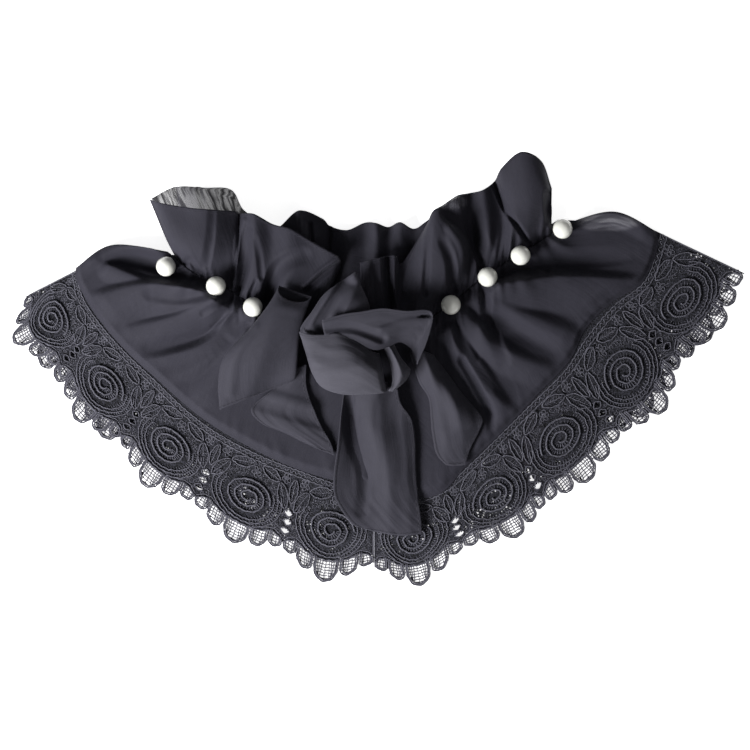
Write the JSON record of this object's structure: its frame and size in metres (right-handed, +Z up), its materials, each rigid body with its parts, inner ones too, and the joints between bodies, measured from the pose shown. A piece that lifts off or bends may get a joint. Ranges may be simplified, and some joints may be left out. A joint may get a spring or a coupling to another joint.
{
  "type": "false collar",
  "caption": "Gathered chiffon capelet collar laid flat, with a ruffled neck, a scalloped guipure lace hem, a soft bow at the front and pearls on the gathering line.",
  "frame": {"origin": "on the floor, under the middle of the back panel, on the collar's flat underside", "axes": "+Y towards the neck edge, +X to the right of someone who looks down on the laid collar, +Z up"},
  "size_m": [0.3716, 0.2198, 0.039],
  "materials": {
    "chiffon": "matt black chiffon with a fine crepe grain, slightly sheer where it is one layer",
    "guipure": "black corded guipure lace",
    "pearl": "glossy off-white imitation pearl"
  },
  "bodies": {
    "root": {"panel_back": "chiffon", "panel_front_left": "chiffon", "panel_front_right": "chiffon", "ruffle_back": "chiffon", "ruffle_front_left": "chiffon", "ruffle_front_right": "chiffon", "lace_back": "guipure", "lace_front_left": "guipure", "lace_front_right": "guipure", "tie_tail_right": "chiffon", "tie_tail_centre": "chiffon", "tie_tail_left": "chiffon", "tie_loop_left": "chiffon", "tie_loop_upper": "chiffon", "tie_petal_back": "chiffon", "tie_petal_outer": "chiffon", "tie_petal_inner": "chiffon", "pearl_1": "pearl", "pearl_2": "pearl", "pearl_3": "pearl", "pearl_4": "pearl", "pearl_5": "pearl", "pearl_6": "pearl", "pearl_7": "pearl"}
  },
  "joints": []
}
